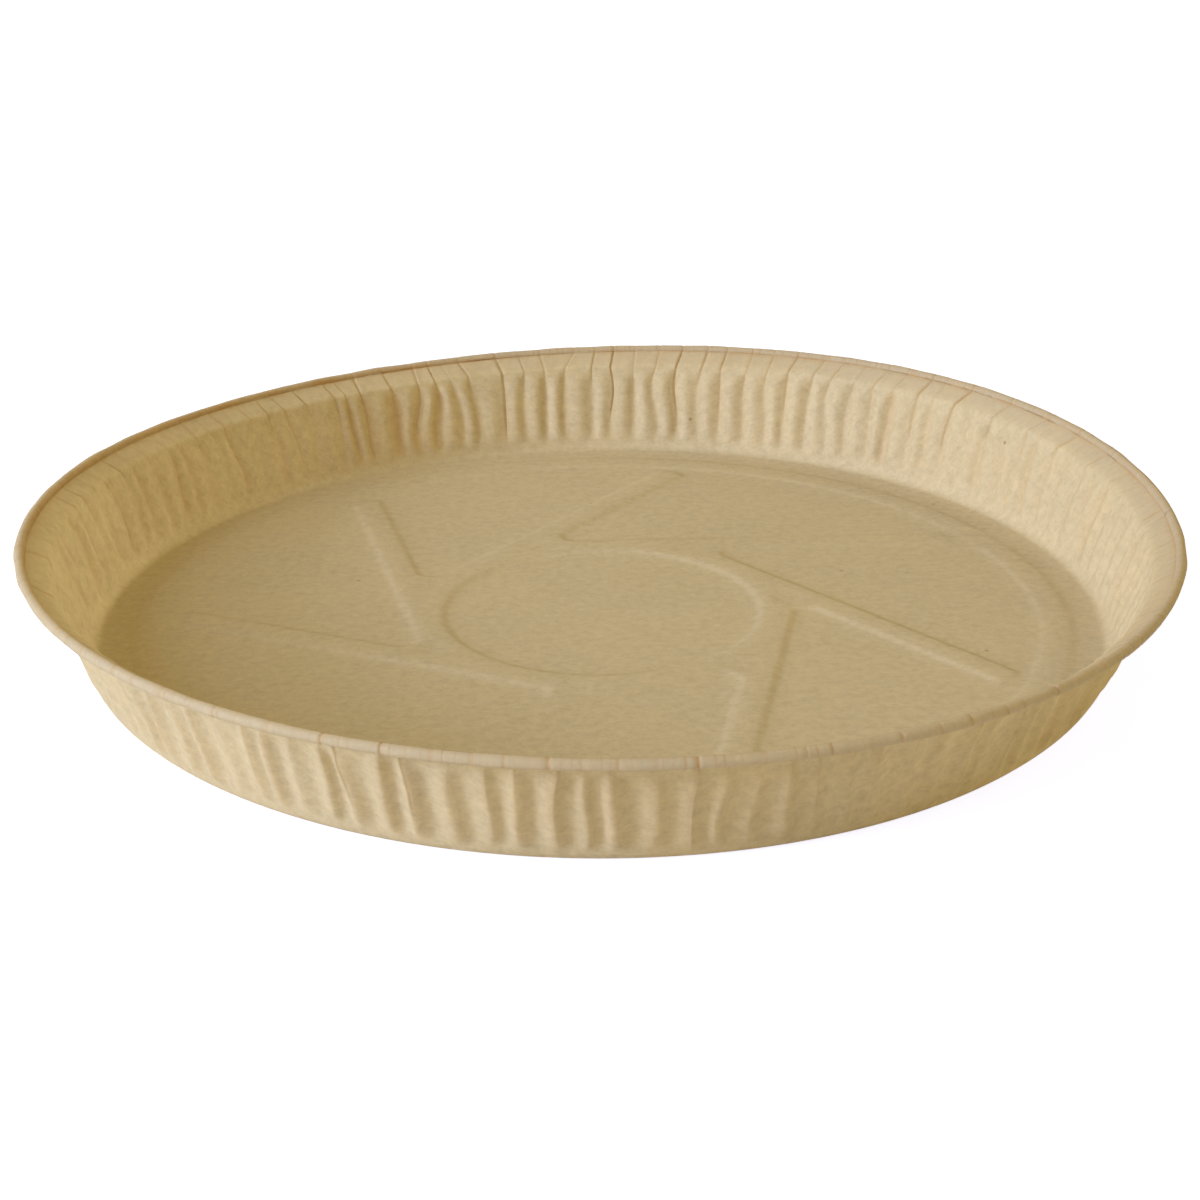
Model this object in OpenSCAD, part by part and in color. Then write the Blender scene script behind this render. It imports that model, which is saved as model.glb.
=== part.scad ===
// Shallow round baking dish, pressed in one piece from kraft board.
// Millimetres, +Z up. The origin is the centre of the underside, which rests on z = 0.

/* [Sheet] */
// Thickness of the board
sheet_t = 0.5; // [0.3:0.05:0.7]

/* [Overall] */
// Outer diameter over the rolled rim
rim_d = 280; // [240:1:400]
// Height from the table to the top of the rim
dish_h = 29; // [22:0.5:50]

/* [Rim and shoulder] */
// Outer diameter of the rolled rim's tube
bead_d = 2.5; // [2:0.1:4]
// How far round the rolled edge is curled under, in degrees below its outermost point
curl_under = 105; // [60:5:110]
// Width of the plain sloping shoulder inside the rim
shoulder_w = 4.8; // [3:0.1:10]
// Rise of the shoulder over that width
shoulder_rise = 3.4; // [1.5:0.1:5]

/* [Wall] */
// How far the wall leans outwards from foot to shoulder
wall_lean = 7.8; // [3:0.1:15]
// Radius of the bend at the foot of the wall, at mid sheet
foot_bend_r = 3; // [1:0.25:5]
// Radius of the bend between wall and shoulder, at mid sheet
shoulder_bend_r = 2; // [1:0.25:3]

/* [Pleats] */
// Distance from one pleat to the next, at the foot
pleat_pitch = 6.45; // [5:0.05:9]
// Depth of the pleats, from crest to groove
pleat_depth = 1.2; // [0.4:0.1:2]
// Random part of each pleat's depth
pleat_scatter = 0.15; // [0:0.05:0.3]

/* [Floor relief] */
// Number of raised ribs round the centre
rib_count = 7; // [5:1:8]
// Width of a rib, half way up its sides
rib_w = 7.6; // [6:0.2:14]
// Distance at which the middle line of every rib passes the centre
rib_offset = 43.7; // [38:0.1:48]
// Direction in which the first rib points, in degrees
rib_turn = 2; // [0:1:50]
// Gap between the ends of the ribs and the raised ring, half way up their sides
rib_gap = 4.4; // [3.5:0.1:15]
// Height of the ribs and their hub above the floor
relief_h = 0.6; // [0.4:0.1:1.4]
// Width of their sloping sides
relief_slope = 1.4; // [0.6:0.1:2]
// Radius of the low round field in the middle, half way up its edge
field_r = 39.5; // [25:0.5:40]
// Distance from the foot of the wall in to the middle of the raised ring round the ribs
ring_margin = 13.2; // [11:0.1:18]
// Width of that ring, half way up its sides
ring_w = 7.4; // [5:0.1:9]
// Height of that ring
ring_h = 0.4; // [0.3:0.1:1.4]
// Corner radius at the outer end of a rib
rib_corner_r = 2; // [1.2:0.1:3]
// Radius in the corner between two ribs
hollow_corner_r = 4; // [3:0.5:6]

/* [Hidden] */
$fn = 180;

kraft = [0.82, 0.68, 0.47];
half_t = sheet_t / 2;
seed = 7;
// Segments in each bend of the section, and in the rolled edge
bend_steps = 6;
curl_steps = 16;
// Angle on the tube where the shoulder runs into the rolled edge
curl_start = 200;
// Length of plain wall left at the foot and under the shoulder
plain_foot = 1.2;
plain_top = 0.8;
// The pleated band is let into the plain rings by this length, and is this much thinner there
lap = 0.15;
lap_inset = 0.12;
// Depth to which a raised part is sunk into the floor sheet that carries it
sink = 0.15;

// The section's corner points, at mid sheet
tube_r = bead_d / 2 - half_t;
tube_c = [rim_d / 2 - bead_d / 2, dish_h - bead_d / 2];
crease_p = tube_c + tube_r * [cos(curl_start), sin(curl_start)];
shoulder_p = crease_p - [shoulder_w, shoulder_rise];
foot_p = [shoulder_p.x - wall_lean, half_t];
wall_len = norm(shoulder_p - foot_p);
wall_dir = (shoulder_p - foot_p) / wall_len;
wall_out = [wall_dir.y, -wall_dir.x];

// Arc of radius r that rounds the corner b between the lines a-b and b-c
function bend(a, b, c, r) =
    let (u = (a - b) / norm(a - b), v = (c - b) / norm(c - b),
         half = acos(u * v) / 2,
         m = b + (u + v) / norm(u + v) * r / sin(half),
         turn = sign(u.x * v.y - u.y * v.x),
         first = b + u * r / tan(half) - m,
         start = atan2(first.y, first.x),
         sweep = turn * (180 - 2 * half))
    [for (i = [0:bend_steps]) let (at = start - sweep * i / bend_steps) m + r * [cos(at), sin(at)]];

// Point i of a path moved sideways by d, with mitred corners
function shifted(path, i, d) =
    let (n = len(path) - 1,
         back = i > 0 ? path[i] - path[i - 1] : path[1] - path[0],
         on = i < n ? path[i + 1] - path[i] : path[n] - path[n - 1],
         a = back / norm(back), b = on / norm(on),
         side = [a.y + b.y, -a.x - b.x] / norm(a + b))
    path[i] + side * d * 2 / norm(a + b);

// Sheet of even thickness along a path in the section, turned about the axis.
// The end that lies on the wall is cut level, so that it is a flat ring.
module turned_sheet(path, wall_end) {
    last = len(path) - 1;
    function edge(i, d) = i == wall_end ? path[i] + [d / wall_out.x, 0] : shifted(path, i, d);
    rotate_extrude() polygon(concat(
        [for (i = [0:last]) edge(i, half_t)],
        [for (i = [last:-1:0]) edge(i, -half_t)]));
}

// Place on the wall's mid line, at a distance from the foot corner
function on_wall(s) = foot_p + wall_dir * s;

band_start = foot_bend_r * tan((90 - atan2(wall_lean, shoulder_p.y - foot_p.y)) / 2) + plain_foot;
shoulder_turn = atan2(wall_dir.y, wall_dir.x) - atan2(shoulder_rise, shoulder_w);
band_end = wall_len - shoulder_bend_r * tan(shoulder_turn / 2) - plain_top;

// Flat floor, bend at the foot and the start of the wall
module floor_and_foot() {
    axis_p = [0, half_t];
    path = concat([axis_p], bend(axis_p, foot_p, shoulder_p, foot_bend_r), [on_wall(band_start)]);
    turned_sheet(path, len(path) - 1);
}

// Top of the wall, shoulder and rolled edge
module shoulder_and_rim() {
    curl = [for (i = [1:curl_steps])
        let (a = curl_start - (curl_start + curl_under) * i / curl_steps)
        tube_c + tube_r * [cos(a), sin(a)]];
    turned_sheet(concat([on_wall(band_end)], bend(foot_p, shoulder_p, crease_p, shoulder_bend_r),
                        [crease_p], curl), 0);
}

// One pleat is a rounded crest and a pinched groove, given by these shares of pitch and depth
pleat_at = [0, 0.27, 0.54, 0.8];
pleat_out = [0.35, 0.5, 0.35, -0.5];
pleats = round(2 * PI * foot_p.x / pleat_pitch);
depth_scatter = rands(-pleat_scatter, pleat_scatter, pleats, seed);

function pleat_size(k) = pleat_depth * (1 + depth_scatter[k]);

// Rows up the wall: distance from the foot corner, share of the pleats' depth, half thickness
band_rows = [
    [band_start - lap, 0, half_t - lap_inset],
    [band_start + 0.16 * (band_end - band_start), 0.75, half_t],
    [band_start + 0.86 * (band_end - band_start), 1, half_t],
    [band_end + lap, 0, half_t - lap_inset]];

// The gathered wall, one sheet with its crests and grooves
module pleated_band() {
    per = len(pleat_at);
    cols = pleats * per;
    rows = len(band_rows);
    function at(row, col, side) =
        let (k = floor(col / per), j = col % per,
             r = band_rows[row],
             p = on_wall(r[0]) + wall_out * (r[1] * pleat_out[j] * pleat_size(k) + side * r[2]),
             a = 360 * (k + pleat_at[j]) / pleats)
        [p.x * cos(a), p.x * sin(a), p.y];
    outer = [for (i = [0:rows - 1]) for (j = [0:cols - 1]) at(i, j, 1)];
    inner = [for (i = [0:rows - 1]) for (j = [0:cols - 1]) at(rows - 1 - i, j, -1)];
    turns = 2 * rows;
    polyhedron(concat(outer, inner), [
        for (i = [0:turns - 1]) for (j = [0:cols - 1])
            let (a = i * cols, b = (i + 1) % turns * cols, j2 = (j + 1) % cols)
            each [[a + j, b + j, b + j2], [a + j, b + j2, a + j2]]]);
}

// Edges of a rib at mid height, as distances from the centre, the ring outside the ribs,
// the radius that the ribs reach to, and the end of a rib measured along it
rib_near = rib_offset - rib_w / 2;
rib_far = rib_offset + rib_w / 2;
ring_r = foot_p.x - ring_margin;
rib_reach = ring_r - ring_w / 2 - rib_gap;
rib_end = sqrt(pow(rib_reach, 2) - pow(rib_offset, 2));
rib_step = 360 / rib_count;
// Segments in each rounded corner of a rib
rib_arc_steps = 4;

// Outline of all ribs and the hub they share, grown sideways by grow
function rib_outline(grow) =
    let (near_c = rib_near - hollow_corner_r,
         hollow_c = [(rib_far + hollow_corner_r - near_c * cos(rib_step)) / sin(rib_step), near_c],
         corner = rib_end - rib_corner_r,
         parts = [
            [hollow_c, hollow_corner_r - grow, 270 - rib_step, 90],
            [[corner, rib_near + rib_corner_r], rib_corner_r + grow, -90, 0],
            [[corner, rib_far - rib_corner_r], rib_corner_r + grow, 0, 90]])
    [for (k = [0:rib_count - 1]) for (part = parts) for (i = [0:rib_arc_steps])
        let (a = part[2] + (part[3] - part[2]) * i / rib_arc_steps,
             p = part[0] + part[1] * [cos(a), sin(a)], turn = rib_turn + k * rib_step)
        [p.x * cos(turn) - p.y * sin(turn), p.x * sin(turn) + p.y * cos(turn)]];

// Triangles that fill the outline of n points: a fan in each rib round its own middle, which is
// point n + k, and one fan round the centre, the point after those
function rib_fill(n) =
    let (per = n / rib_count, centre = n + rib_count)
    [for (k = [0:rib_count - 1])
        let (middle = n + k, joint = (k + 1) * per % n, next = n + (k + 1) % rib_count)
        each concat(
            [for (i = [k * per:(k + 1) * per - 1]) [middle, i, (i + 1) % n]],
            [[centre, middle, joint], [centre, joint, next]])];

// The outline of the ribs at height z, the middles of the ribs and the centre
function rib_points(grow, z) =
    concat([for (p = rib_outline(grow)) [p.x, p.y, z]],
           [for (k = [0:rib_count - 1])
               let (along = rib_offset / 4, turn = rib_turn + k * rib_step)
               [along * cos(turn) - rib_offset * sin(turn),
                along * sin(turn) + rib_offset * cos(turn), z]],
           [[0, 0, z]]);

// Sideways growth of a raised part at a height h above the surface it rises from
function slope_at(h) = relief_slope * (0.5 - h / relief_h);

// Raised ribs with their hub, round the low field in the middle, rising from height z
module ribs(z) {
    low = rib_points(slope_at(-sink), z - sink);
    high = rib_points(slope_at(relief_h), z + relief_h);
    m = len(low);
    n = m - rib_count - 1;
    over = 0.1;
    difference() {
        polyhedron(
            concat(low, high),
            concat(rib_fill(n), [for (f = rib_fill(n)) [m + f[0], m + f[2], m + f[1]]],
                   [for (i = [0:n - 1]) let (j = (i + 1) % n) each [[i, m + i, m + j], [i, m + j, j]]]));
        translate([0, 0, z - sink - over])
            cylinder(h = relief_h + sink + 2 * over,
                     r1 = field_r - slope_at(-sink - over), r2 = field_r - slope_at(relief_h + over));
    }
}

// Raised ring round the ribs, rising from height z with sides as steep as theirs
module ring(z) {
    half_low = ring_w / 2 + relief_slope * (ring_h / 2 + sink) / relief_h;
    half_high = ring_w / 2 - relief_slope * ring_h / 2 / relief_h;
    rotate_extrude() polygon([
        [ring_r - half_low, z - sink], [ring_r + half_low, z - sink],
        [ring_r + half_high, z + ring_h], [ring_r - half_high, z + ring_h]]);
}

module relief(z) {
    ribs(z);
    ring(z);
}

module dish() {
    color(kraft) {
        difference() {
            union() {
                floor_and_foot();
                relief(sheet_t);
            }
            relief(0);
        }
        pleated_band();
        shoulder_and_rim();
    }
}

dish();
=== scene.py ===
import math

import bpy
import numpy as np
from mathutils import Matrix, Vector
from mathutils.geometry import delaunay_2d_cdt


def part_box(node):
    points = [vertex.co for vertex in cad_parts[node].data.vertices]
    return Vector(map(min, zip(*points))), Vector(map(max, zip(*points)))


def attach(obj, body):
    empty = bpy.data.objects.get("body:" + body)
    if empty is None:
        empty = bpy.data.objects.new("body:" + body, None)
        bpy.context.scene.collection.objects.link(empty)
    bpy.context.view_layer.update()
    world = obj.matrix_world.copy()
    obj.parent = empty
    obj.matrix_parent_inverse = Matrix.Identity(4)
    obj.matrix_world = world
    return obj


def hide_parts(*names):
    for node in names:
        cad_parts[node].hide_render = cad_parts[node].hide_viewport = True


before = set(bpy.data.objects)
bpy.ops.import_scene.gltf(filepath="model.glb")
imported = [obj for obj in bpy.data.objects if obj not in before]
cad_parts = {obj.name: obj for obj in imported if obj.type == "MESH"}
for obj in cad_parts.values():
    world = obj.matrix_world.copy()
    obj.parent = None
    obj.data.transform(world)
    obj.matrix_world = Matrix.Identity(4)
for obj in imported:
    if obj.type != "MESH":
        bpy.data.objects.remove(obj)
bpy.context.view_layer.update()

MM = 0.001
rng = np.random.default_rng(12)

# Sizes of the dish in metres; the sheet's section is given at mid sheet
LOW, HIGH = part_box("dish")
RIM_R = (HIGH.x - LOW.x) / 2
RIM_TOP = HIGH.z
SHEET = 0.5 * MM
BEAD_R = 1.25 * MM
TUBE_R = BEAD_R - SHEET / 2
TUBE_CENTRE = np.array([RIM_R - BEAD_R, RIM_TOP - BEAD_R])
CURL_START = math.radians(200)
CURL_END = math.radians(-105)
SHOULDER_RUN = 4.8 * MM
SHOULDER_RISE = 3.4 * MM
WALL_LEAN = 7.8 * MM
FOOT_BEND = 3.0 * MM
SHOULDER_BEND = 2.0 * MM
# Steps of the mesh in each of the two bends
BEND_STEPS = 4

# Raised parts of the floor
RIBS = 7
RIB_W = 7.6 * MM
RIB_OFFSET = 43.7 * MM
RIB_REACH = 104 * MM
RIB_TURNS = np.radians(2) + 2 * np.pi / RIBS * np.arange(RIBS)
RIB_CORNER = 2.0 * MM
HOLLOW_CORNER = 4.0 * MM
FIELD_R = 39.5 * MM
# Loose points are raised within this radius, or on a rib past this length along it
HUB_R = 46 * MM
RIB_START = -10 * MM
RING_R = 112 * MM
RING_W = 7.4 * MM
RELIEF = 0.6 * MM
RING_SHARE = 0.55
SLOPE = 1.7 * MM

# Height of the floor's unevenness; the mesh's spacing along the ribs' outline and between the
# relief's edges, and the least distance of a loose point from those edges
FLOOR_WAVE = 0.16 * MM
OUTLINE_STEP = 3 * MM
LATTICE = 4.2 * MM
LATTICE_GAP = 1.6 * MM

# Gathers of the wall: their number, the place of the first as a share of the pitch, their depth
PLEATS = 122
PLEAT_PHASE = 0.91
PLEAT_DEPTH = 1.2 * MM
# Depth of the pinch and height of the lip of a full crease, on the shoulder and on the wall
PINCH_SHOULDER = 0.32 * MM
PINCH_WALL = 0.2 * MM
LIP_SHOULDER = 0.4 * MM
LIP_WALL = 0.26 * MM
# Columns of the mesh in one pleat, as shares of its pitch from one fold line to the next, close
# together at the fold lines
SHARES = np.array([0, 0.04, 0.11, 0.24, 0.41, 0.59, 0.76, 0.89, 0.96])
# Rows of the mesh up the wall, up the shoulder and round the curl, as shares of each
WALL_ROWS = np.array([0.05, 0.12, 0.21, 0.31, 0.42, 0.53, 0.64, 0.74, 0.83, 0.91, 0.97])
SHOULDER_ROWS = np.array([0.3, 0.65, 0.93])
CURL_ROWS = np.array([0.03, 0.1, 0.22, 0.36, 0.5, 0.64, 0.78, 0.9, 1.0])
# The most marked creases: where each crosses the crevice and how far it leans across the
# shoulder, both in degrees round the dish, then its depth and the share of the wall it runs down
CREASES = (
    (5.7, 1.6, 0.2, 0.02), (9.6, 1.0, 0.2, 0.02), (15.3, 0.9, 0.6, 0.04),
    (21.4, 1.3, 0.8, 0.08), (27.5, 1.2, 1.0, 0.35), (33.9, 1.0, 1.0, 0.25),
    (40.0, 1.1, 1.1, 0.55), (46.0, 0.7, 1.0, 0.5), (52.3, 0.9, 0.9, 0.45),
    (58.4, 0.8, 0.8, 0.2), (64.6, 0.6, 0.7, 0.5), (73.8, 0.3, 1.1, 0.7),
    (79.5, 0.5, 1.0, 0.6), (82.3, 0.3, 0.7, 0.15), (88.2, 0.4, 1.1, 0.6),
    (93.1, 1.4, 0.6, 0.15), (103.2, -0.5, 0.9, 0.8), (108.0, -0.8, 0.8, 0.1),
    (113.8, 0.2, 0.8, 0.6), (121.9, 0.1, 1.0, 0.9), (126.1, -0.5, 0.6, 0.4),
    (133.8, -0.8, 0.6, 0.7), (143.2, -0.8, 0.9, 0.9), (153.2, -0.9, 0.5, 0.8),
    (160.1, -0.8, 0.6, 0.6), (167.1, -1.6, 1.2, 0.8), (174.8, -0.9, 0.5, 0.6),
    (181.9, -0.7, 0.9, 0.5), (190.9, -1.4, 0.9, 0.4), (223.4, 0.4, 0.9, 0.75),
    (230.2, -0.4, 0.8, 0.9), (236.3, 0.5, 0.7, 0.7), (246.9, -0.4, 1.0, 0.6),
    (252.1, 0.6, 1.0, 0.65), (259.6, 0.3, 0.7, 0.5), (265.7, 0.5, 1.2, 0.7),
    (271.1, -0.6, 0.9, 0.8), (277.3, 0.5, 1.5, 0.95), (288.0, 0.3, 0.7, 0.6),
    (294.1, -0.3, 0.9, 0.8), (304.7, 0.3, 0.9, 0.8), (310.7, -0.4, 1.2, 0.85),
    (317.5, 0.3, 0.8, 0.7))


def smooth(x):
    """Rises from 0 to 1 as x does, level at both ends."""
    x = np.clip(x, 0, 1)
    return x * x * (3 - 2 * x)


def bump(x, centre, width):
    """Bell curve of height 1 round centre."""
    return np.exp(-((x - centre) / width) ** 2)


def direction(angle):
    """Unit vectors at an angle from X: its cosine and sine."""
    return np.stack([np.cos(angle), np.sin(angle)], -1)


# The sheet's section

def rounded(a, b, c, radius):
    """Arc of a radius that rounds the corner b between the lines a-b and b-c."""
    u = (a - b) / np.linalg.norm(a - b)
    v = (c - b) / np.linalg.norm(c - b)
    half = math.acos(u @ v) / 2
    centre = b + (u + v) / np.linalg.norm(u + v) * radius / math.sin(half)
    first = b + u * radius / math.tan(half) - centre
    last = b + v * radius / math.tan(half) - centre
    start = math.atan2(first[1], first[0])
    sweep = (math.atan2(last[1], last[0]) - start + math.pi) % (2 * math.pi) - math.pi
    return centre + radius * direction(start + sweep * np.linspace(0, 1, BEND_STEPS + 1))


def section_rows():
    """Points of the mid-sheet section from the foot to the curled edge, and where stretches start.

    Wall and shoulder are straight lines with an arc in each corner, and the edge follows a circle.
    """
    crevice = TUBE_CENTRE + TUBE_R * direction(CURL_START)
    shoulder = crevice - np.array([SHOULDER_RUN, SHOULDER_RISE])
    foot = np.array([shoulder[0] - WALL_LEAN, SHEET / 2])
    axis = np.array([0, SHEET / 2])
    foot_arc = rounded(axis, foot, shoulder, FOOT_BEND)
    shoulder_arc = rounded(foot, shoulder, crevice, SHOULDER_BEND)
    up_wall = WALL_ROWS[:, None]
    wall = foot_arc[-1] * (1 - up_wall) + shoulder_arc[0] * up_wall
    up_shoulder = SHOULDER_ROWS[:, None]
    plain = shoulder_arc[-1] * (1 - up_shoulder) + crevice * up_shoulder
    curl = TUBE_CENTRE + TUBE_R * direction(CURL_START + (CURL_END - CURL_START) * CURL_ROWS)
    rows = np.concatenate([foot_arc, wall, shoulder_arc, plain, crevice[None], curl])
    marks = {"wall": len(foot_arc) - 1, "shoulder": len(foot_arc) + len(wall)}
    marks["bend"] = marks["shoulder"] + len(shoulder_arc) // 2
    marks["crevice"] = marks["shoulder"] + len(shoulder_arc) + len(plain)
    return rows, marks


def section_normals(rows):
    """Normals of the section, towards the inside of the dish, and the length along it.

    A normal halves the angle between two legs and is longer there, so that the sheet keeps its
    thickness.
    """
    legs = np.diff(rows, axis=0)
    lengths = np.linalg.norm(legs, axis=1)
    unit = legs / lengths[:, None]
    before = np.concatenate([unit[:1], unit])
    after = np.concatenate([unit, unit[-1:]])
    both = before + after
    size = np.linalg.norm(both, axis=1, keepdims=True)
    tangent = both / size
    normal = np.stack([-tangent[:, 1], tangent[:, 0]], -1) * 2 / size
    along = np.concatenate([[0], np.cumsum(lengths)])
    return normal, along


# The rim's slight wave and the outline's small departures from a circle

def rim_wave(angle):
    """Height and radius that the real rim adds to the true circle: a few harmonics of the angle."""
    lift = RIM_R * (-0.0014 * np.cos(angle) - 0.0013 * np.sin(angle)
                    + 0.0082 * np.sin(2 * angle)
                    - 0.003 * np.cos(3 * angle) + 0.0019 * np.sin(3 * angle))
    swell = -0.0005 * np.cos(2 * angle) - 0.0025 * np.sin(2 * angle) - 0.0038 * np.cos(3 * angle)
    return lift, 1 + swell


def foot_wave(angle):
    """Radius that the real foot has against the true circle: two harmonics of the angle."""
    return 1 - 0.0012 * np.cos(2 * angle) - 0.0048 * np.cos(3 * angle) + 0.0039 * np.sin(3 * angle)


def ripple(angle, along, count, seed):
    """Smooth unevenness of the sheet, about -1 to 1: a sum of waves of random course and phase."""
    local = np.random.default_rng(seed)
    turns = local.integers(3, 60, count)
    climbs = local.uniform(-400, 400, count)
    phases = local.uniform(0, 2 * np.pi, count)
    total = sum(np.sin(t * angle + c * along + p) for t, c, p in zip(turns, climbs, phases))
    return total / math.sqrt(count)


# The gathered wall

def pleat_strength(degrees):
    """How deep the gathers are round the wall: about 1, and half of that on the left."""
    shallow = smooth((degrees - 116) / 16) * (1 - smooth((degrees - 205) / 25))
    return (1 + 0.08 * np.sin(np.radians(2 * degrees) + 0.6)) * (1 - 0.5 * shallow)


def folds(along, marks):
    """Each fold line's place, sideways path, gather, pinch, lip and painted shade, by fold and by
    row.

    A fold sways up the wall along a sum of sines and leans over to its place at the rim. Its
    gather rises from nothing at the foot to its own strength and dies out under the shoulder.
    The pinch, the lip beside it and the painted shade along the crease are full on the shoulder,
    fade on the rolled edge and run down the wall by the crease's own reach.
    """
    n = PLEATS
    pitch = 360 / n
    home = (np.arange(n) + PLEAT_PHASE) * pitch
    turn = np.radians(home)
    foot, top, crevice = (along[marks[key]] for key in ("wall", "bend", "crevice"))
    up = (along - foot) / (top - foot)
    over = np.clip((along - top) / (crevice - top), 0, 1)
    seam = rng.uniform(0.2, 0.8, n) * (0.25 + 0.75 * smooth((home - 30) / 40))
    reach = rng.uniform(0.08, 0.3, n)
    at_top = rng.normal(0, 0.25, n)
    far_half = home < 180
    at_rim = at_top - 0.8 * np.cos(turn) * far_half + rng.normal(0, 0.25, n)
    for angle, lean, depth, run in CREASES:
        k = int(round((angle + lean) / pitch - PLEAT_PHASE)) % n
        seam[k], reach[k] = depth, run
        at_rim[k] = (angle - home[k] + 180) % 360 - 180
        at_top[k] = at_rim[k] + lean
    low = np.clip(up, 0, 1)
    sway = (rng.normal(0, 0.3, (n, 1)) * np.sin(np.pi * low)
            + rng.normal(0, 0.16, (n, 1)) * np.sin(2 * np.pi * low)
            + 0.45 * np.cos(turn)[:, None] * np.sin(np.pi * low ** 1.6) * far_half[:, None])
    climb = 0.5 + 0.5 * smooth((up - 0.3) / 0.7)
    shift = np.radians(sway + at_top[:, None] * climb + (at_rim - at_top)[:, None] * over)
    strength = pleat_strength(home)[:, None] * rng.uniform(0.5, 1.4, (n, 1))
    tip = rng.uniform(0.78, 0.88, (n, 1))
    rise = smooth((up - 0.02) / 0.14) * (1 - smooth((up - tip) / 0.16))
    wave = PLEAT_DEPTH * strength * rise
    rim = smooth(over * 8 - 7)
    on_shoulder = smooth((up - 0.92) / 0.08)
    reached = smooth((up - (1 - reach[:, None])) / 0.12 + 0.5)
    on_wall = reached * (1 - on_shoulder) * smooth(up / 0.2)
    seam = seam[:, None]
    pinch = seam * (PINCH_SHOULDER * on_shoulder * (1 - 0.55 * rim) + PINCH_WALL * on_wall)
    # Painted shade along each crease: full on the shoulder, less on the rolled edge and down the
    # wall
    crease_shade = seam * (1.1 * on_shoulder * (1 - 0.2 * rim) + 0.5 * on_wall)
    side = np.sign(rng.normal(0, 1, (n, 1)))
    lip = seam * side * (LIP_SHOULDER * on_shoulder + LIP_WALL * on_wall) * (1 - 0.75 * rim)
    return turn, shift, wave, pinch, lip, crease_shade


def band_grid():
    """The sheet outside the floor, as a grid of columns round the dish by rows along the section.

    A column lies at a share of the pitch between two fold lines, so columns follow the folds.
    The sheet moves out by part of the gather, and in by the gather times a raised cosine round
    each fold line. A bell curve across the line presses the pinch, and the lip falls away from it.
    """
    rows, marks = section_rows()
    normal, along = section_normals(rows)
    home, shift, wave, pinch, lip, crease_shade = folds(along, marks)
    nxt = np.roll(np.arange(PLEATS), -1)
    share = SHARES[None, :, None]
    pitch = 2 * np.pi / PLEATS

    def across(values):
        """Straight from the value of one fold line to that of the next."""
        return values[:, None] * (1 - share) + values[nxt][:, None] * share

    def nearest(values):
        """The value of the nearer fold line."""
        return np.where(share <= 0.5, values[:, None], values[nxt][:, None])

    angle = home[:, None, None] + pitch * share + across(shift)
    foot, top, crevice = (along[marks[key]] for key in ("wall", "bend", "crevice"))
    up = np.clip((along - foot) / (top - foot), 0, 1)
    narrow = 1 + 1.4 * smooth((up - 0.72) / 0.28)
    valley = ((1 + np.cos(2 * np.pi * share)) / 2) ** narrow
    offset = 0.45 * across(wave) - nearest(wave) * valley
    aside = np.minimum(share, 1 - share) * pitch * RIM_R
    groove = np.exp(-(aside / (0.3 * MM)) ** 2) * nearest(pinch)
    after, before = np.maximum(lip, 0)[:, None], np.maximum(-lip, 0)[nxt][:, None]
    step = np.where(share <= 0.5, after, before) * np.exp(-aside / (0.9 * MM)) * (share > 0)
    uneven = 0.08 * MM * ripple(angle, along, 24, 5) * smooth(up * 5)
    inner = offset + uneven - groove + step
    outer = offset + uneven - 0.3 * groove - 1.3 * step
    # Painted shade: the rim share darkens the shoulder and, a little, the rolled edge
    plain = smooth((along - along[marks["shoulder"]]) / (3 * MM))
    bead = smooth((along - crevice) / (0.6 * MM))
    rim = 0.85 * plain + 0.15 * bead + 0 * angle
    # Painted shade: a line along the crevice, wider and darker on the left, and thin lines along
    # the creases
    left = smooth((angle - 1.7) / 0.5) * (1 - smooth((angle - 3.1) / 0.8))
    line = bump(along, crevice + 0.5 * MM * left, (0.34 + 0.5 * left) * MM)
    line = line * (0.95 + 0.35 * ripple(angle, 0 * angle, 30, 9))
    hair = np.exp(-(aside / (0.26 * MM)) ** 2) * nearest(crease_shade)
    patch = across(rng.uniform(0.1, 1.3, (PLEATS, 1)))
    # Painted shade in the pleat valleys, stronger on the left
    valley_shade = valley * across(wave) / PLEAT_DEPTH * patch * (0.2 + 0.5 * left)
    painted_shade = np.maximum(hair, line) + valley_shade
    shape = (-1, len(along))
    return (rows, normal, along, angle.reshape(shape), inner.reshape(shape), outer.reshape(shape),
            painted_shade.reshape(shape), rim.reshape(shape))


def place(rows, normal, angle, offset):
    """Points in space: section points moved along their normals and turned to their angle.

    The rim's lift and swell grow in with height, as the foot's own swell fades.
    """
    p = rows + normal * offset[..., None]
    share = np.clip(p[..., 1] / TUBE_CENTRE[1], 0, 1)
    lift, swell = rim_wave(angle)
    swell = swell * share + foot_wave(angle) * (1 - share)
    radius = p[..., 0] * swell
    return np.stack([radius * np.cos(angle), radius * np.sin(angle), p[..., 1] + lift * share], -1)


# The floor and its relief

def rib_end():
    """Length at which a rib ends: where its middle line meets the circle that the ribs reach."""
    return math.sqrt(RIB_REACH ** 2 - RIB_OFFSET ** 2)


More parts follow.
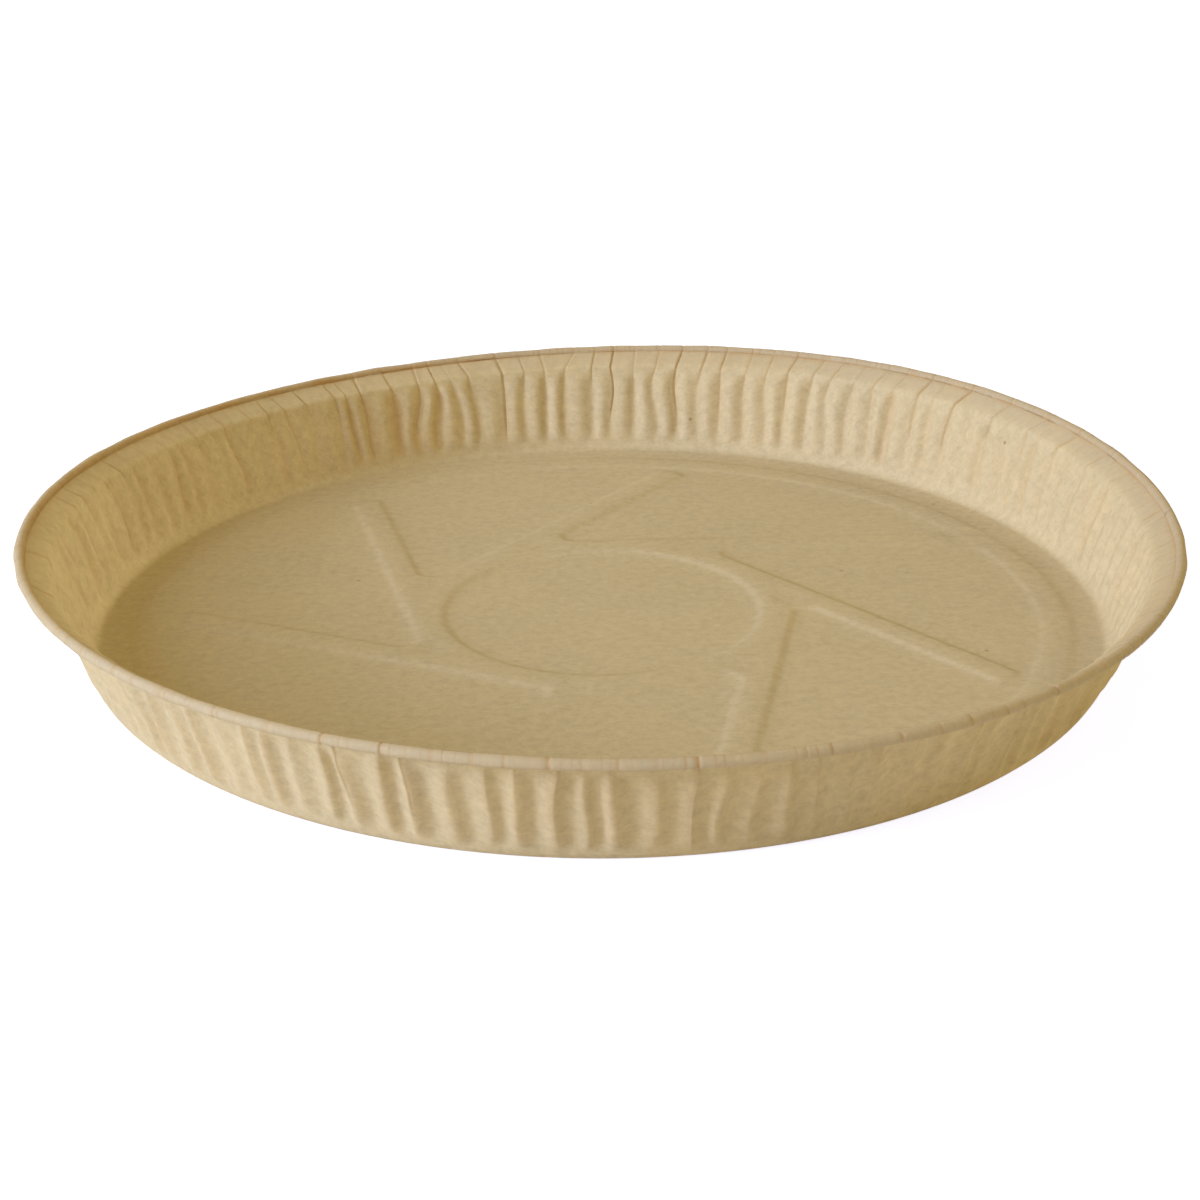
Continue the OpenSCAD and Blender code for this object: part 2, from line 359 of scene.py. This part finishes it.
def rib_outline(grow):
    """Outline of the ribs and their hub, grown sideways.

    Each rib gives one arc in the hollow before it and two at the corners of its end, and straight
    lines between them are cut into equal pieces.
    """
    step = 2 * np.pi / RIBS
    near, far = RIB_OFFSET - RIB_W / 2, RIB_OFFSET + RIB_W / 2
    end = rib_end() - RIB_CORNER
    hollow_y = near - HOLLOW_CORNER
    hollow_x = (far + HOLLOW_CORNER - hollow_y * math.cos(step)) / math.sin(step)
    quarter = np.linspace(0, np.pi / 2, 6)
    hollow = np.linspace(1.5 * np.pi - step, np.pi / 2, 9)
    corners = np.concatenate([
        np.array([hollow_x, hollow_y]) + (HOLLOW_CORNER - grow) * direction(hollow),
        np.array([end, near + RIB_CORNER]) + (RIB_CORNER + grow) * direction(quarter - np.pi / 2),
        np.array([end, far - RIB_CORNER]) + (RIB_CORNER + grow) * direction(quarter)])
    turned = [corners @ np.array([[np.cos(a), np.sin(a)], [-np.sin(a), np.cos(a)]])
              for a in RIB_TURNS]
    outline = np.concatenate(turned)
    closed = np.concatenate([outline, outline[:1]])
    legs = np.linalg.norm(np.diff(closed, axis=0), axis=1)
    pieces = np.maximum(1, np.round(legs / OUTLINE_STEP).astype(int))
    return np.concatenate([
        a + (b - a) * np.linspace(0, 1, n, endpoint=False)[:, None]
        for a, b, n in zip(closed[:-1], closed[1:], pieces)])


def beside_rib(points, turn):
    """Distances of points from the centre, along a rib's direction and sideways from it."""
    return points @ direction(turn), points @ np.array([-np.sin(turn), np.cos(turn)])


def on_rib(points):
    """True where a point lies on a rib or the hub, away from their edges."""
    found = np.linalg.norm(points, axis=1) < HUB_R
    for turn in RIB_TURNS:
        along, aside = beside_rib(points, turn)
        found |= (abs(aside - RIB_OFFSET) < RIB_W / 2) & (along > RIB_START) & (along < rib_end())
    return found


def circle(radius, count):
    """Points at even angles round the centre."""
    return radius * direction(2 * np.pi * np.arange(count) / count)


def floor_points(edge):
    """Points of the floor and their share of the relief's height.

    Each edge of the relief has rings of points along it, on a smooth slope from 0 to its height,
    and a lattice of equal triangles fills what lies between.
    """
    levels = np.array([-0.9, -0.45, -0.15, 0.15, 0.45, 0.9])
    shares = smooth(0.5 - levels / 1.8)
    rings, heights = [edge], [np.zeros(len(edge))]
    for level, share in zip(levels * SLOPE, shares):
        for ring, part in ((rib_outline(level), 1), (circle(FIELD_R - level, 150), 1),
                           (circle(RING_R + RING_W / 2 + level, 380), RING_SHARE),
                           (circle(RING_R - RING_W / 2 - level, 360), RING_SHARE)):
            rings.append(ring)
            heights.append(np.full(len(ring), share * part))
    fixed = np.concatenate(rings)
    reach = np.arange(-30, 31) * LATTICE
    x, y = np.meshgrid(reach, reach * math.sqrt(3) / 2)
    x = x + (np.arange(len(reach))[:, None] % 2) * LATTICE / 2
    loose = np.stack([x.ravel(), y.ravel()], -1)
    loose = loose[np.linalg.norm(loose, axis=1) < np.linalg.norm(edge, axis=1).min() - 1.5 * MM]
    gap = np.concatenate([np.sqrt(((part[:, None] - fixed[None]) ** 2).sum(-1).min(1))
                          for part in np.array_split(loose, 12)])
    loose = loose[gap > LATTICE_GAP]
    radius = np.linalg.norm(loose, axis=1)
    on_ring = abs(radius - RING_R) < RING_W / 2
    raised = (on_rib(loose) & (radius > FIELD_R)) + RING_SHARE * on_ring
    return np.concatenate([fixed, loose]), np.concatenate(heights + [raised])


def floor_sheet(edge):
    """Floor points, their relief from 0 to 1, and the best-shaped triangles between them."""
    points, share = floor_points(edge)
    count = len(edge)
    ring = [(i, (i + 1) % count) for i in range(count)]
    made, _, faces, origin, _, _ = delaunay_2d_cdt(
        [tuple(p) for p in points.tolist()], ring, [], 1, 1e-9)
    made = np.array([tuple(v) for v in made])
    source = np.array([o[0] for o in origin])
    return made, share[source], np.array(faces)


def pressed(points):
    """Share of its full height that the relief has: 1, falling to a third on the first rib."""
    along, aside = beside_rib(points, RIB_TURNS[0])
    near = 1 - smooth((abs(aside - RIB_OFFSET) - RIB_W / 2 - SLOPE) / (2 * MM))
    return 1 - 0.65 * near * smooth((along - 15 * MM) / (25 * MM))


def floor_height(points, share):
    """Height of the floor's middle surface.

    It is the relief plus a product of two waves round the centre, which dies out at the foot.
    """
    radius = np.linalg.norm(points, axis=1)
    angle = np.arctan2(points[:, 1], points[:, 0])
    calm = 1 - smooth((radius / RING_R - 0.8) / 0.25)
    wave = 0.5 + 0.5 * np.sin(3 * angle + 0.7 + radius * 30) * np.sin(2 * angle + 2 - radius * 22)
    return SHEET / 2 + RELIEF * share * pressed(points) + FLOOR_WAVE * wave * calm


def make_mesh(name, points, faces, attributes):
    """A smooth-shaded object, with each attribute's values written point by point."""
    mesh = bpy.data.meshes.new(name)
    mesh.from_pydata(points, [], faces)
    mesh.update()
    mesh.polygons.foreach_set("use_smooth", np.ones(len(mesh.polygons), bool))
    for key, values in attributes.items():
        layer = mesh.attributes.new(key, "FLOAT", "POINT")
        layer.data.foreach_set("value", values.astype(np.float32))
    piece = bpy.data.objects.new(name, mesh)
    bpy.context.scene.collection.objects.link(piece)
    return piece


def blank_map(mesh, flat):
    """Writes the UV map "blank": where each corner lay on the flat sheet, in metres."""
    layer = mesh.uv_layers.new(name="blank")
    corners = np.empty(len(mesh.loops), np.int32)
    mesh.loops.foreach_get("vertex_index", corners)
    layer.data.foreach_set("uv", flat[corners].astype(np.float32).ravel())


def dish():
    """The whole pressed sheet, closed: inner and outer surface of one layout, joined at the edge.

    Each surface is the middle surface moved by half the thickness, the floor's straight up or
    down and the rest along the section's normals.
    """
    rows, normal, along, angle, inner, outer, painted_shade_band, rim = band_grid()
    cols, count = angle.shape
    half = SHEET / 2
    inside = place(rows, normal, angle, half + inner)
    outside = place(rows, normal, angle, -half + outer)
    edge = inside[:, 0, :2]
    flat_points, share, triangles = floor_sheet(edge)
    height = floor_height(flat_points, share)
    floor_in = np.column_stack([flat_points, height + half])
    floor_out = np.column_stack([flat_points, height - half])
    rim_ids = np.arange(cols * count).reshape(cols, count)
    floor_ids = np.full(len(flat_points), -1)
    floor_ids[:cols] = rim_ids[:, 0]
    floor_ids[cols:] = cols * count + np.arange(len(flat_points) - cols)
    nxt = np.roll(rim_ids, -1, axis=0)
    quads = np.stack([rim_ids[:, :-1], rim_ids[:, 1:], nxt[:, 1:], nxt[:, :-1]], -1).reshape(-1, 4)
    floor_faces = floor_ids[triangles]
    total = cols * count + len(flat_points) - cols
    lip = np.stack([rim_ids[:, -1], rim_ids[:, -1] + total, nxt[:, -1] + total, nxt[:, -1]], -1)
    faces = (quads.tolist() + floor_faces.tolist() + lip.tolist()
             + (quads[:, ::-1] + total).tolist() + (floor_faces[:, ::-1] + total).tolist())
    points = np.concatenate([inside.reshape(-1, 3), floor_in[cols:],
                             outside.reshape(-1, 3), floor_out[cols:]])
    within = flat_points[cols:]
    reach = np.concatenate([(np.linalg.norm(edge, axis=1)[:, None] + along).ravel(),
                            np.linalg.norm(within, axis=1)])
    around = np.concatenate([angle.ravel(), np.arctan2(within[:, 1], within[:, 0])])
    flat = direction(around) * reach[:, None]
    plain = np.zeros(len(within))
    marks = np.concatenate([painted_shade_band.ravel(), plain])
    rim_shade = np.concatenate([rim.ravel(), plain])
    # Painted shade of the creases, crevice and pleat valleys, weaker on the outer surface; painted
    # shade of the shoulder and rolled edge on the inner surface only
    piece = make_mesh("pressed_dish", points, faces, {
        "pinch": np.concatenate([marks, marks * 0.7]),
        "rim": np.concatenate([rim_shade, rim_shade * 0])})
    blank_map(piece.data, np.concatenate([flat, flat]))
    return piece


# Shader expressions

class Wire:
    """A socket of a node tree that Python operators turn into Math nodes."""

    def __init__(self, tree, socket):
        self.tree, self.socket = tree, socket

    def math(self, operation, *others):
        node = self.tree.nodes.new("ShaderNodeMath")
        node.operation = operation
        for slot, value in zip(node.inputs, (self, *others)):
            if isinstance(value, Wire):
                self.tree.links.new(value.socket, slot)
            else:
                slot.default_value = value
        return Wire(self.tree, node.outputs[0])

    def __add__(self, other): return self.math("ADD", other)
    def __radd__(self, other): return self.math("ADD", other)
    def __sub__(self, other): return self.math("SUBTRACT", other)
    def __rsub__(self, other): return (self * -1) + other
    def __mul__(self, other): return self.math("MULTIPLY", other)
    def __rmul__(self, other): return self.math("MULTIPLY", other)
    def clamp(self): return self.math("MAXIMUM", 0.0).math("MINIMUM", 1.0)


class Finish:
    """A material whose nodes are made by one call each."""

    def __init__(self, name):
        self.material = bpy.data.materials.new(name)
        self.material.use_nodes = True
        self.tree = self.material.node_tree
        self.tree.nodes.clear()

    def node(self, kind, settings=None, output=0, **values):
        """Makes a node: its settings are set first, then its inputs.

        An input is given by its name, with spaces as underscores, or as _ and its number.
        """
        made = self.tree.nodes.new("ShaderNode" + kind)
        for key, value in (settings or {}).items():
            setattr(made, key, value)
        for key, value in values.items():
            slot = made.inputs[int(key[1:]) if key[0] == "_" else key.replace("_", " ")]
            if isinstance(value, Wire):
                self.tree.links.new(value.socket, slot)
            else:
                slot.default_value = value
        return None if output is None else Wire(self.tree, made.outputs[output])

    def finished(self, shader):
        """Joins a shader to the output and returns the material."""
        self.node("OutputMaterial", output=None, Surface=shader)
        return self.material

    def mix(self, share, first, second):
        """Colour between two colours."""
        return self.node("Mix", {"data_type": "RGBA"}, output=2, _0=share, _6=first, _7=second)


def rgb(red, green, blue):
    """Opaque colour."""
    return (red, green, blue, 1.0)


def kraft():
    """Unbleached kraft board: long fibres along the sheet's X, soft clouds, grain and dark specks.

    The tone is a sum of four noises on the flat blank. Painted shade darkens the shoulder and the
    rolled edge, more painted shade darkens the creases, the crevice, the pleat valleys and the fine
    hairlines round the edge, and a few cells of a random pattern hold a speck each. The sheet lets
    some light through, more of it where the fibres lie loose.
    """
    f = Finish("kraft_board")
    blank = f.node("UVMap", {"uv_map": "blank"})
    fibre_at = f.node("Mapping", Vector=blank, Rotation=(0, 0, 0.1), Scale=(240, 800, 1))
    fibres = f.node("TexNoise", Vector=fibre_at, Scale=1.0, Detail=4.0, Roughness=0.62,
                    Distortion=0.8)
    grain_at = f.node("Mapping", Vector=blank, Rotation=(0, 0, -0.3), Scale=(1000, 1500, 1))
    grain = f.node("TexNoise", Vector=grain_at, Scale=1.0, Detail=3.0, Roughness=0.65)
    clouds = f.node("TexNoise", Vector=blank, Scale=30.0, Detail=4.0, Roughness=0.6)
    flocks = f.node("TexNoise", Vector=blank, Scale=420.0, Detail=3.0, Roughness=0.6)
    pinch = f.node("Attribute", {"attribute_name": "pinch"}, output=2)
    rim = f.node("Attribute", {"attribute_name": "rim"}, output=2)
    tone = ((fibres - 0.5) * 0.65 + (grain - 0.5) * 0.9
            + (clouds - 0.5) * 0.45 + (flocks - 0.5) * 0.9 + 0.5)
    colour = f.mix(tone.clamp(), rgb(0.52, 0.408, 0.218), rgb(0.865, 0.74, 0.49))
    flat_cells = {"feature": "F1", "voronoi_dimensions": "2D"}
    spots = f.node("TexVoronoi", flat_cells, Vector=blank, Scale=32.0)
    cells = f.node("TexVoronoi", flat_cells, output=1, Vector=blank, Scale=32.0)
    chosen = f.node("SeparateColor", _0=cells).math("GREATER_THAN", 0.9)
    speck = (1.3 - spots * 58.0).clamp() * chosen
    # Painted shade: the shoulder and the rolled edge are darker
    colour = f.mix(rim * 0.62, colour, rgb(0.58, 0.465, 0.31))
    across, up = (f.node("SeparateXYZ", output=i, _0=blank) for i in (0, 1))
    around = up.math("ARCTAN2", across)
    wrinkle = f.node("TexNoise", {"noise_dimensions": "1D"}, W=around, Scale=170.0, Detail=2.0,
                     Roughness=0.7)
    on_edge = ((rim - 0.86) * 8).clamp()
    hairs = ((wrinkle - 0.58) * 7).clamp() * on_edge
    # Painted shade in the creases, the crevice, the pleat valleys and the hairlines round the edge
    colour = f.mix((pinch * 0.6 + hairs * 0.45).clamp(), colour, rgb(0.53, 0.27, 0.07))
    colour = f.mix(speck * 0.75, colour, rgb(0.16, 0.09, 0.04))
    height = fibres * 0.55 + grain * 0.3 + flocks * 0.1 - hairs * 1.2
    normal = f.node("Bump", Height=height, Strength=0.32, Distance=0.00012)
    face = f.node("BsdfPrincipled", Base_Color=colour, Normal=normal, IOR=1.36,
                  Roughness=(0.68 - (tone - 0.5) * 0.2).clamp())
    through = f.node("BsdfTranslucent", Color=rgb(1.0, 0.87, 0.56), Normal=normal)
    loose = (0.36 + (clouds - 0.5) * 0.25 + (flocks - 0.5) * 0.3).clamp()
    return f.finished(f.node("MixShader", _0=loose, _1=face, _2=through))


def backdrop():
    """Pale table: white to the camera, with only the object's shadow taken from the light."""
    f = Finish("pale_table")
    lit = f.node("BsdfDiffuse", Color=rgb(0.9, 0.9, 0.9))
    glow = f.node("Emission", Color=rgb(1, 1, 1.1), Strength=1.42)
    seen = f.node("LightPath")
    return f.finished(f.node("MixShader", _0=seen * 0.6, _1=lit, _2=glow))


def stage():
    """A wide pale table just under the dish: one flat square."""
    reach, drop = 6.0, 0.05 * MM
    corners = [(x * reach, y * reach, -drop) for x, y in ((-1, -1), (1, -1), (1, 1), (-1, 1))]
    table = make_mesh("table", corners, [(0, 1, 2, 3)], {})
    table.data.materials.append(backdrop())


def area_light(name, side, height, size, power, colour):
    """Round lamp aimed at the dish, at angles in degrees round it and above the table."""
    distance = 2.5
    lamp = bpy.data.lights.new(name, "AREA")
    lamp.shape, lamp.size, lamp.energy, lamp.color = "DISK", size, power, colour
    made = bpy.data.objects.new(name, lamp)
    out = direction(math.radians(side)) * math.cos(math.radians(height)) * distance
    made.location = (*out, math.sin(math.radians(height)) * distance)
    made.rotation_euler = (-made.location).to_track_quat("-Z", "Y").to_euler()
    bpy.context.scene.collection.objects.link(made)


def lights():
    """A low window on the left with its wide glow, a warm fill on the right, a faint ceiling."""
    cool, warm = (0.88, 1.055, 1.52), (1.06, 0.89, 0.48)
    # Angle round the dish, angle above the table, diameter in metres, power in watts, colour
    area_light("window", 203, 18, 0.6, 26, cool)
    area_light("window_glow", 209, 30, 1.8, 35, cool)
    area_light("fill", 20, 35, 1.8, 9.5, warm)
    area_light("ceiling", 150, 75, 1.8, 4, warm)
    world = bpy.data.worlds.new("studio")
    world.use_nodes = True
    room = world.node_tree.nodes["Background"]
    room.inputs["Color"].default_value = rgb(1.0, 0.87, 0.5)
    room.inputs["Strength"].default_value = 0.42
    bpy.context.scene.world = world


def camera():
    """The photograph's camera, from its distance, height angle, pitch, yaw and roll."""
    distance = 3.951 * RIM_R
    focal_px, image_px = 2208.4, 1200
    height, pitch, yaw, roll = (math.radians(a) for a in (23.109, 22.787, -0.061, -0.685))
    ahead = np.array([math.sin(yaw) * math.cos(pitch), math.cos(yaw) * math.cos(pitch),
                      -math.sin(pitch)])
    right = np.array([math.cos(yaw), -math.sin(yaw), 0])
    up = np.cross(right, ahead)
    right, up = (math.cos(roll) * right + math.sin(roll) * up,
                 -math.sin(roll) * right + math.cos(roll) * up)
    spot = distance * np.array([0, -math.cos(height), math.sin(height)])
    data = bpy.data.cameras.new("photo")
    data.sensor_width = 36
    data.lens = focal_px / image_px * data.sensor_width
    data.clip_start, data.clip_end = 0.01, 50
    made = bpy.data.objects.new("photo", data)
    axes = np.column_stack([right, up, -ahead])
    made.matrix_world = Matrix([[*row, at] for row, at in zip(axes, spot)] + [[0, 0, 0, 1]])
    bpy.context.scene.collection.objects.link(made)
    bpy.context.scene.camera = made


body = dish()
body.data.materials.append(kraft())
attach(body, "root")
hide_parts("dish")
stage()
lights()
camera()
bpy.context.scene.view_settings.view_transform = "Standard"
